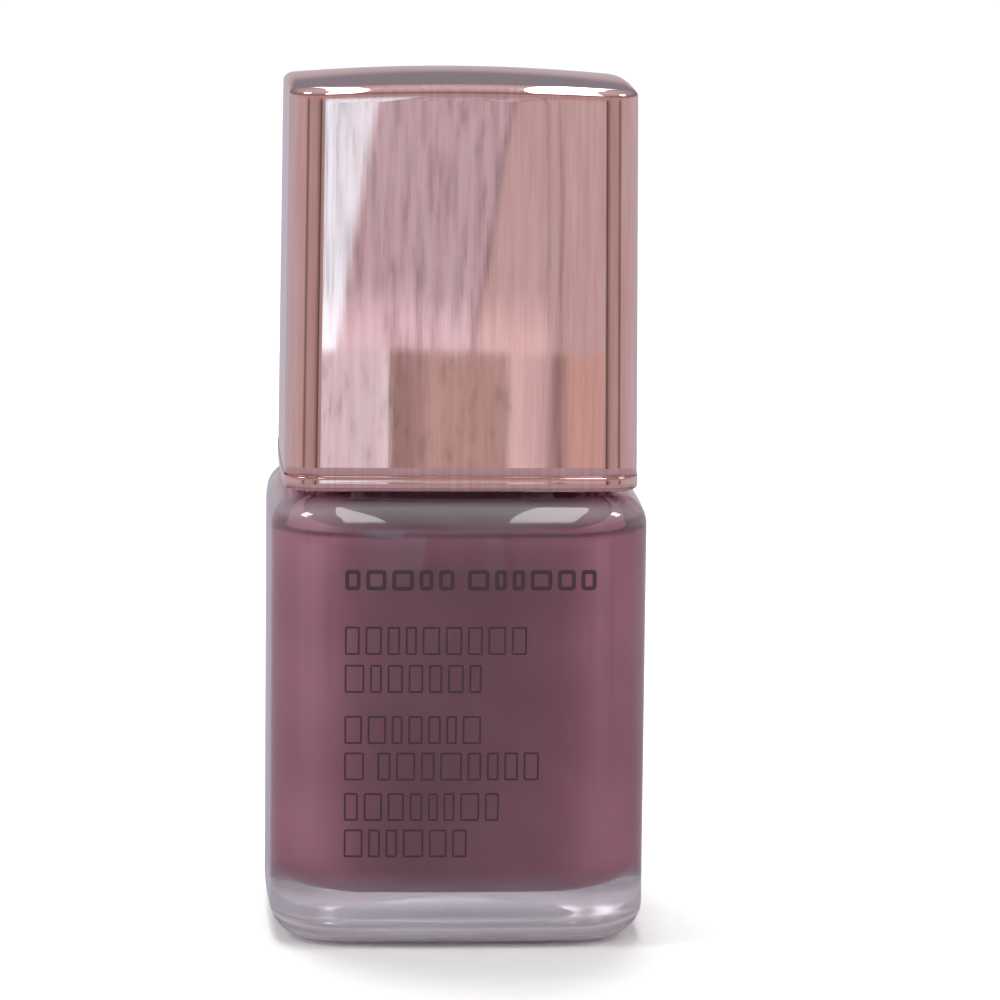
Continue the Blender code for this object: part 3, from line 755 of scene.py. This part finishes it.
def closureRings():
    c = closure
    low, high = c["box"]
    bottom, top, ceiling, deck = low[2], high[2], c["ceiling"], c["crown"]
    socket, bore, root, boss = c["socket"], c["bore"], c["root"], c["bossRadius"]
    inside = joinRows(
        [[socket * 0.5, c["socketTop"]], [socket, c["socketTop"]]],
        quarterRound((socket, ceiling + 0.3 * mm), (socket + 0.3 * mm, ceiling), 3, False),
        quarterRound((bore - 0.3 * mm, ceiling), (bore, ceiling - 0.3 * mm), 3),
    )
    fall = np.linspace(ceiling - 0.4 * mm, bottom + 0.6 * mm, 90)
    ridge = threadRidge(fall, neck["top"] - neck["threadStart"] + neck["pitch"] / 2, neck["turns"],
                        c["threadHeight"], c["threadWidth"])
    rim = joinRows(
        quarterRound((bore, bottom + 0.5 * mm), (bore + 0.5 * mm, bottom), 4, False),
        quarterRound((root - 0.2 * mm, bottom), (root, bottom + 0.2 * mm), 3),
    )
    ribHeights = np.concatenate([np.linspace(bottom + 1.0 * mm, bottom + 1.3 * mm, 4),
                                 np.linspace(deck - 2.0 * mm, deck - 1.6 * mm, 4)])
    fade = np.array([0.0, 0.5, 0.9, 1.0, 1.0, 0.9, 0.5, 0.0])[:, None]
    wave = np.clip(np.cos(np.arange(around) * 2 * math.pi * c["ribs"] / around) * 1.5, -1, 1) * 0.5 + 0.5
    crown = joinRows(
        quarterRound((root, deck - 0.8 * mm), (root - 0.8 * mm, deck), 6, False),
        quarterRound((boss + 0.4 * mm, deck), (boss, deck + 0.4 * mm), 4),
        quarterRound((boss, top - 0.4 * mm), (boss - 0.4 * mm, top), 4, False),
        [[boss * 0.5, top]],
    )
    return np.concatenate([
        turnedProfile(inside), turnedRings(bore - ridge, fall), turnedProfile(rim),
        turnedRings(root + c["rib"] * wave[None] * fade, ribHeights), turnedProfile(crown),
    ])


# Polypropylene, injection moulded: a waxy satin skin, a little rougher where the tool is worn.
def mouldedPlastic(name, colour, deep, roughness):
    material, tree, place = startMaterial(name, IOR=1.49)
    grain = noise(tree, place, 1 / (0.6 * mm), 4.0)
    return finishMaterial(
        material,
        Base_Color=blendColour(tree, grain, deep, colour),
        Roughness=spread(tree, grain, 0, 1, roughness - 0.08, roughness + 0.10),
        Normal=bumped(tree, grain, 0.15, 0.02 * mm))


makePiece("screw_closure", [skin(closureRings())],
          mouldedPlastic("polypropylene, injection moulded, white", "#ECEAE6", "#DEDBD5", 0.38),
          "cap", ["inner_cap"])


# Seal liner.

def linerRings():
    low, high = sealBox
    outer, inner, soft = neck["radius"] + 0.3 * mm, 2.4 * mm, 0.15 * mm  # clear of the closure's thread
    profile = joinRows(
        quarterRound((outer - soft, low[2]), (outer, low[2] + soft), 4),
        quarterRound((outer, high[2] - soft), (outer - soft, high[2]), 4, False),
        quarterRound((inner + soft, high[2]), (inner, high[2] - soft), 4),
        quarterRound((inner, low[2] + soft), (inner + soft, low[2]), 4, False),
    )
    return turnedProfile(profile, 96)


makePiece("rim_seal", [skin(linerRings(), loop=True)],
          mouldedPlastic("polyethylene, die cut from sheet", "#E9E7E1", "#DAD8D1", 0.5),
          "liner", ["seal_liner"])


# Brush.

brush = {
    "tuftBox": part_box("brush_tuft"),
    "spigot": 2.0 * mm,
    "rodTop": 1.9 * mm,
    "rodEnd": 1.6 * mm,
    "socket": 1.12 * mm,
    "socketTop": 26.4 * mm,
    "filaments": 520,
    "filamentRadius": 0.05 * mm,
    "widest": 1.48 * mm,
    "seed": 7,
    "turnEach": 2.39996,  # radians from one bristle to the next, the golden angle
}


def stemRings():
    low, high = stemBox
    end, flange, under, over = low[2], high[0], stack["flangeBottom"], stack["flangeTop"]
    socket, rodEnd, rodTop, spigot = brush["socket"], brush["rodEnd"], brush["rodTop"], brush["spigot"]
    profile = joinRows(
        [[socket * 0.5, brush["socketTop"]], [socket, brush["socketTop"]]],
        quarterRound((socket, end + 0.15 * mm), (socket + 0.15 * mm, end), 3, False),
        quarterRound((rodEnd - 0.25 * mm, end), (rodEnd, end + 0.25 * mm), 4),
        straightRun((rodEnd, end + 0.25 * mm), (rodTop, under - 6.0 * mm), 8)[1:],
        quarterRound((rodTop, under - 0.5 * mm), (rodTop + 0.5 * mm, under), 5, False),
        quarterRound((flange - 0.2 * mm, under), (flange, under + 0.2 * mm), 3),
        quarterRound((flange, over - 0.2 * mm), (flange - 0.2 * mm, over), 3, False),
        quarterRound((spigot + 0.2 * mm, over), (spigot, over + 0.2 * mm), 3),
        quarterRound((spigot, high[2] - 0.3 * mm), (spigot - 0.3 * mm, high[2]), 4, False),
        [[spigot * 0.4, high[2]]],
    )
    return turnedProfile(profile, 72)


# All bristles at once. Each starts on a sunflower pattern in the socket, spreads below the mouth
# by sin(0.85 pi t) to the widest reach, draws in by a third towards the tips, wanders a little
# to its own side, and narrows at its end. The middle ones are the longest.
def tuftSkins():
    b = brush
    low, high = b["tuftBox"]
    random = np.random.default_rng(b["seed"])
    count, rings, sides = b["filaments"], 8, 5
    order = np.arange(count)
    spreadOut = np.sqrt((order + 0.5) / count)[:, None]
    bearing = (order * b["turnEach"])[:, None]
    t = np.linspace(0, 1, rings)
    mouth = stemBox[0][2]
    tip = low[2] + 0.9 * mm * spreadOut[:, 0] ** 2 + random.uniform(0, 0.25 * mm, count)
    height = high[2] + (tip[:, None] - high[2]) * t[None]
    below = np.clip((mouth - height) / (mouth - low[2]), 0, 1)
    inSocket = b["socket"] - 0.1 * mm
    reach = inSocket + (b["widest"] - inSocket) * np.sin(np.pi * np.clip(below * 0.85, 0, 1))
    reach = spreadOut * reach * (1 - 0.35 * np.clip((below - 0.8) / 0.2, 0, 1) ** 2)
    wander = random.uniform(-1, 1, (count, 2)) * 0.05 * mm
    x = reach * np.cos(bearing) + wander[:, :1] * below
    y = reach * np.sin(bearing) + wander[:, 1:] * below
    thick = b["filamentRadius"] * (1 - 0.45 * np.clip((t - 0.85) / 0.15, 0, 1))
    turn = np.arange(sides) / sides * 2 * math.pi
    ringX = x[:, :, None] + thick[None, :, None] * np.cos(turn)
    ringY = y[:, :, None] + thick[None, :, None] * np.sin(turn)
    ringZ = np.broadcast_to(height[:, :, None], ringX.shape)
    return tubeSkins(np.stack([ringX, ringY, ringZ], 3)[:, ::-1])


# A plastic or nylon that has been in the lacquer: its own dark colour above, the lacquer's
# colour and gloss below, with a ragged wet edge at the given height.
def dippedPlastic(name, dry, height, ragged, dryRoughness):
    material, tree, place = startMaterial(name, IOR=1.5)
    drip = noise(tree, inCells(tree, place, 0.8 * mm, 0.8 * mm, 4 * mm))
    wobble = reckon(tree, "MULTIPLY_ADD", drip, ragged, heightOf(tree, place))
    wet = spread(tree, wobble, height + 0.3 * mm, height - 0.3 * mm)
    return finishMaterial(
        material,
        Base_Color=blendColour(tree, wet, dry, lacquer["thin"]),
        Roughness=spread(tree, wet, 0, 1, dryRoughness, 0.12))


# The blade: a flat rounded bar, its rings climbing from edge to edge.
def anchorRings():
    low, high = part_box("tuft_anchor")
    t = np.arange(24) / 24 * 2 * math.pi
    soft = 0.06 * mm
    x, y = np.clip(np.cos(t) * 1.5, -1, 1), np.clip(np.sin(t) * 1.5, -1, 1)
    rings = []
    for share, rise in ((0.0, 0.0), (0.7, 0.3), (1.0, 1.0)):
        ringX = x * (high[0] - soft) + np.sign(x) * soft * share
        ringY = y * (high[1] - soft) + np.sign(y) * soft * share
        rings.append(np.stack([ringX, ringY, np.full(24, low[2] + soft * rise)], 1))
    upper = [ring * (1, 1, -1) + (0, 0, low[2] + high[2]) for ring in reversed(rings)]
    return np.stack(rings + upper)


# Brass wire, rolled flat: a warm metal with long rolling marks.
def rolledBrass():
    material, tree, place = startMaterial(
        "brass wire, rolled flat", Metallic=1.0, Base_Color=hexColour("#C8A45E"))
    marks = noise(tree, inCells(tree, place, mm, mm, mm / 12), detail=3.0)
    return finishMaterial(material, Roughness=spread(tree, marks, 0, 1, 0.22, 0.42))


makePiece("brush_rod", [skin(stemRings())],
          dippedPlastic("polypropylene, moulded black, dipped", "#1C1B1D", 31.0 * mm, 3 * mm, 0.34),
          "stem", ["brush_stem"])
makePiece("bristles", [tuftSkins()],
          dippedPlastic("nylon filament, drawn, dipped", "#241C20", 21.0 * mm, 2 * mm, 0.4),
          "cap", ["brush_tuft"])
makePiece("bristle_blade", [skin(anchorRings())], rolledBrass(), "cap", ["tuft_anchor"])


# Floor, light and camera.

studio = {
    "floorHalf": 6.0,
    "floorColour": "#CACAC9",
    "floorGrain": "#CECECD",
    "backdrop": 1.0,
    # brightness and colour round the horizon by azimuth from the front, in degrees
    "ring": [(0, 0.50, "#F4F4FF"), (9, 0.44, "#FFF4F0"), (13, 0.09, "#FFF0EC"), (18, 0.28, "#FFF0EC"),
             (27, 0.46, "#FFF6F6"), (48, 0.49, "#FFF6F6"), (57, 0.18, "#FFF0EC"), (63, 0.54, "#FFF8FA"),
             (95, 0.60, "#FAF8FF"), (120, 0.70, "#E6EEFF"), (180, 0.56, "#F4ECF8")],
    # how bright the room is away from the horizon, by elevation in degrees
    "wall": [(-60, 0.42, "#E8E4F4"), (-36, 0.42, "#E8E4F4"), (-32, 0.20, "#FFF0F0"), (-24, 0.20, "#FFF0F0"),
             (-20, 0.50, "#E8E4F4"), (-9.5, 0.56, "#ECE8F6")],
    "high": [(1, 0.56, "#FFE2E0"), (5, 0.50, "#FFE8E8"), (8, 0.29, "#EEE8F6"), (20, 0.30, "#EEECF8"),
             (50, 0.62, "#F2F2FA"), (90, 0.80, "#F6F6FA")],
    "roofLights": [(-0.028, 0.016), (0.126, 0.026)],  # sideways direction of each and its half width
    "roofLight": 7.0,
    # the part that the front face mirrors, by azimuth in degrees: a window above a table's edge
    "mirrorFrom": -2.0,
    "mirrorTo": 9.0,
    "slant": 0.34,  # how far the window leans: degrees of azimuth to a degree of elevation
    "window": [(-2, 1.9, "#C4F1FF"), (1.5, 1.6, "#CCF0FF"), (1.72, 0.74, "#EAEEFF"), (5.13, 0.74, "#EAEEFF"),
               (5.24, 0.46, "#F4F0FF"), (5.42, 0.61, "#FAFAFF"), (9, 0.60, "#FCFAFF")],
    "table": [(-2, 1.12, "#E0F0FF"), (1.0, 1.02, "#E0F0FF"), (1.25, 1.3, "#E0F4FF"), (1.4, 0.36, "#FFF4F4"),
              (2.1, 0.42, "#FFF4F4"), (2.4, 0.56, "#FFF4F0"), (4.4, 0.50, "#FFF4F0"), (4.6, 0.87, "#F8FAFF"),
              (5.4, 0.70, "#FAF8FF"), (5.85, 0.28, "#FFEEF0"), (6.15, 0.63, "#FFECE6"), (9, 0.60, "#FFEAE4")],
    "tableEdge": -5.02,
    "tableLow": -9.0,  # below this elevation the face mirrors the wall again
    "posts": [(5.54, 0.045), (5.88, 0.045)],  # thin dark uprights in the window
    "postShade": -0.35,
    "grain": (5.0, 0.8),  # grains of the window's upright pattern to a degree, across and up
    "scuffs": (3.2, 2.2),  # the same for the table's scuffs
    "glow": 0.45,  # how much brighter the window is just above the table
    "glowReach": -0.9,
    "glowWander": 1.6,  # how far the grain breaks up the glow's edge
    "patch": 1.2,  # brightness of the patch in the window's lower left corner
    "sun": 3.4,
    "sunSpread": 26.0,
    "sunTurn": (-19.0, -4.0),  # about X and Y, in degrees from straight down
    "lightsAim": (0.0, 0.0, 0.035),
    "lights": [
        # name, place, size, power, colour, whether polished surfaces mirror it
        ("left window", (-0.42, -0.10, 0.46), (0.16, 0.16), 1.1, "#FFFFFF", True),
        ("right window", (0.44, -0.06, 0.44), (0.14, 0.14), 0.9, "#FFFFFF", True),
        ("left fill", (-0.60, -0.05, 0.12), (0.30, 0.40), 3.4, "#FFFFFF", False),
        ("right fill", (0.60, -0.10, 0.12), (0.30, 0.40), 2.8, "#FFF4F0", False),
    ],
}
cameraSetup = {
    "distance": 0.375,
    "azimuth": -3.2,  # degrees, towards the object's left side
    "height": 84.0 * mm,
    "aim": (3.7 * mm, 0.0, 32.4 * mm),
    "roll": 0.6,
    "lens": 175.1,
}


# The floor is a flat sheet that only the camera and the shadows meet: the glass and the metal
# see the room below it, so a white floor doesn't wash them out.
def makeFloor():
    grid = np.linspace(-studio["floorHalf"], studio["floorHalf"], 9)
    x, y = np.meshgrid(grid, grid)
    verts = np.stack([x, y, 0 * x], 2).reshape(-1, 3)
    index = np.arange(x.size).reshape(x.shape)
    quads = np.stack([index[:-1, :-1], index[:-1, 1:], index[1:, 1:], index[1:, :-1]], 2).reshape(-1, 4)
    mesh = bpy.data.meshes.new("floor")
    mesh.from_pydata(verts.tolist(), [], quads.tolist())
    material, tree, place = startMaterial("paper sweep, matt", Roughness=0.85)
    tone = blendColour(tree, noise(tree, place, 1 / (3 * mm)), studio["floorColour"], studio["floorGrain"])
    mesh.materials.append(finishMaterial(material, Base_Color=tone))
    floor = bpy.data.objects.new("floor", mesh)
    floor.visible_glossy = False
    floor.visible_transmission = False
    bpy.context.scene.collection.objects.link(floor)


def makeLights():
    for name, place, size, power, colour, mirrored in studio["lights"]:
        data = bpy.data.lights.new(name, "AREA")
        data.shape, data.size, data.size_y = "RECTANGLE", size[0], size[1]
        data.energy = power
        data.color = hexColour(colour)[:3]
        light = bpy.data.objects.new(name, data)
        light.location = place
        aim = Vector(studio["lightsAim"]) - Vector(place)
        light.rotation_euler = aim.to_track_quat("-Z", "Y").to_euler()
        light.visible_camera = False
        light.visible_glossy = mirrored
        bpy.context.scene.collection.objects.link(light)
    data = bpy.data.lights.new("overhead", "SUN")
    data.energy, data.angle = studio["sun"], math.radians(studio["sunSpread"])
    sun = bpy.data.objects.new("overhead", data)
    sun.rotation_euler = (*(math.radians(turn) for turn in studio["sunTurn"]), 0)
    sun.visible_glossy = False
    bpy.context.scene.collection.objects.link(sun)


# Noise over directions, with so many cells to a degree across and up.
def noiseOverSky(tree, azimuth, elevation, cells, *shape):
    inputs = {"X": times(tree, azimuth, cells[0]), "Y": times(tree, elevation, cells[1])}
    return noise(tree, addNode(tree, "ShaderNodeCombineXYZ", inputs).outputs["Vector"], 1.0, *shape)


def scaleColour(tree, colour, level):
    node = addNode(tree, "ShaderNodeVectorMath", {0: colour, 1: level}, operation="MULTIPLY")
    return node.outputs["Vector"]


# What the cap's face mirrors, low in front: a leaning window that glows just above a table's
# edge and shows upright grain and two posts, and below the edge the scuffed table.
def mirroredView(tree, azimuth, elevation):
    edge = studio["tableEdge"]
    slant = reckon(tree, "MULTIPLY_ADD", elevation, -studio["slant"], azimuth)
    grain = noiseOverSky(tree, azimuth, elevation, studio["grain"], 5.0, 0.7, 0.4)
    cracks = reckon(tree, "MAXIMUM", spread(tree, grain, 0.37, 0.54, 0.62, 1.04),
                    spread(tree, slant, 5.1, 5.35))
    for place, halfWidth in studio["posts"]:
        post = reckon(tree, "COMPARE", azimuth, place, halfWidth)
        cracks = times(tree, cracks, reckon(tree, "MULTIPLY_ADD", post, studio["postShade"], 1.0))
    glowEdge = reckon(tree, "MULTIPLY_ADD", grain, studio["glowWander"], edge + 0.1)
    above = reckon(tree, "SUBTRACT", elevation, glowEdge)
    glow = times(tree, spread(tree, above, 0, studio["glowReach"], kind="SMOOTHSTEP"),
                 spread(tree, azimuth, 5.7, 5.5))
    glow = reckon(tree, "MULTIPLY_ADD", glow, studio["glow"], 1.0)
    patch = times(tree, spread(tree, azimuth, 1.3, 1.1), spread(tree, glowEdge, edge + 0.9, edge + 0.6),
                  spread(tree, elevation, edge + 0.75, edge + 0.55))
    glow = reckon(tree, "MULTIPLY_ADD", patch, studio["patch"], glow)
    window = scaleColour(tree, rampOver(tree, slant, studio["window"]), times(tree, cracks, glow))
    scuffs = noiseOverSky(tree, azimuth, elevation, studio["scuffs"], 6.0, 0.75)
    scuffs = reckon(tree, "MAXIMUM", spread(tree, scuffs, 0.34, 0.48, 0.55, 1.0),
                    spread(tree, azimuth, 4.3, 4.6))
    table = scaleColour(tree, rampOver(tree, azimuth, studio["table"]), scuffs)
    return blendColour(tree, spread(tree, elevation, edge + 0.05, edge - 0.05), window, table)


# The room: round the horizon its brightness follows the ring, the same on both sides, and above
# and below it goes over to its own ramps, with two lights in the roof. The camera itself sees a
# plain white backdrop past the floor.
def makeWorld():
    world = bpy.data.worlds.new("studio")
    bpy.context.scene.world = world
    world.use_nodes = True
    tree = world.node_tree
    degrees = 180 / math.pi
    way = addNode(tree, "ShaderNodeSeparateXYZ",
                  {"Vector": addNode(tree, "ShaderNodeTexCoord").outputs["Generated"]})
    front = times(tree, way.outputs["Y"], -1.0)
    azimuth = times(tree, reckon(tree, "ARCTAN2", way.outputs["X"], front), degrees)
    elevation = times(tree, reckon(tree, "ARCSINE", way.outputs["Z"]), degrees)
    room = rampOver(tree, reckon(tree, "ABSOLUTE", azimuth), studio["ring"])
    low, high = rampOver(tree, elevation, studio["wall"]), rampOver(tree, elevation, studio["high"])
    room = blendColour(tree, spread(tree, elevation, -9.0, -12.0, kind="SMOOTHSTEP"), room, low)
    room = blendColour(tree, spread(tree, elevation, 0, 4, kind="SMOOTHSTEP"), room, high)
    for sideways, halfWidth in studio["roofLights"]:
        across = reckon(tree, "COMPARE", way.outputs["X"], sideways, halfWidth)
        lit = times(tree, across, spread(tree, elevation, 22, 32))
        room = blendColour(tree, lit, room, (studio["roofLight"],) * 3 + (1,))
    middle = (studio["mirrorFrom"] + studio["mirrorTo"]) / 2
    reach = (studio["mirrorTo"] - studio["mirrorFrom"]) / 2
    away = reckon(tree, "ABSOLUTE", reckon(tree, "SUBTRACT", azimuth, middle))
    share = times(tree, spread(tree, away, reach, reach - 1), spread(tree, elevation, 2, 0),
                  spread(tree, elevation, studio["tableLow"], studio["tableLow"] + 0.4))
    room = blendColour(tree, share, room, mirroredView(tree, azimuth, elevation))
    path = addNode(tree, "ShaderNodeLightPath")
    seen = blendColour(tree, path.outputs["Is Camera Ray"], room, (studio["backdrop"],) * 3 + (1,))
    tree.links.new(seen, tree.nodes["Background"].inputs["Color"])


def makeCamera():
    c = cameraSetup
    turn = math.radians(c["azimuth"])
    place = Vector((c["distance"] * math.sin(turn), -c["distance"] * math.cos(turn), c["height"]))
    data = bpy.data.cameras.new("camera")
    data.lens, data.sensor_width = c["lens"], 36.0
    data.clip_start, data.clip_end = 0.01, 50.0
    camera = bpy.data.objects.new("camera", data)
    aim = (Vector(c["aim"]) - place).to_track_quat("-Z", "Y").to_matrix().to_4x4()
    camera.matrix_world = Matrix.Translation(place) @ aim @ Matrix.Rotation(math.radians(c["roll"]), 4, "Z")
    bpy.context.scene.collection.objects.link(camera)
    bpy.context.scene.camera = camera


makeFloor()
makeLights()
makeWorld()
makeCamera()
bpy.context.scene.view_settings.view_transform = "Standard"
print("floor, lights, room and camera made")
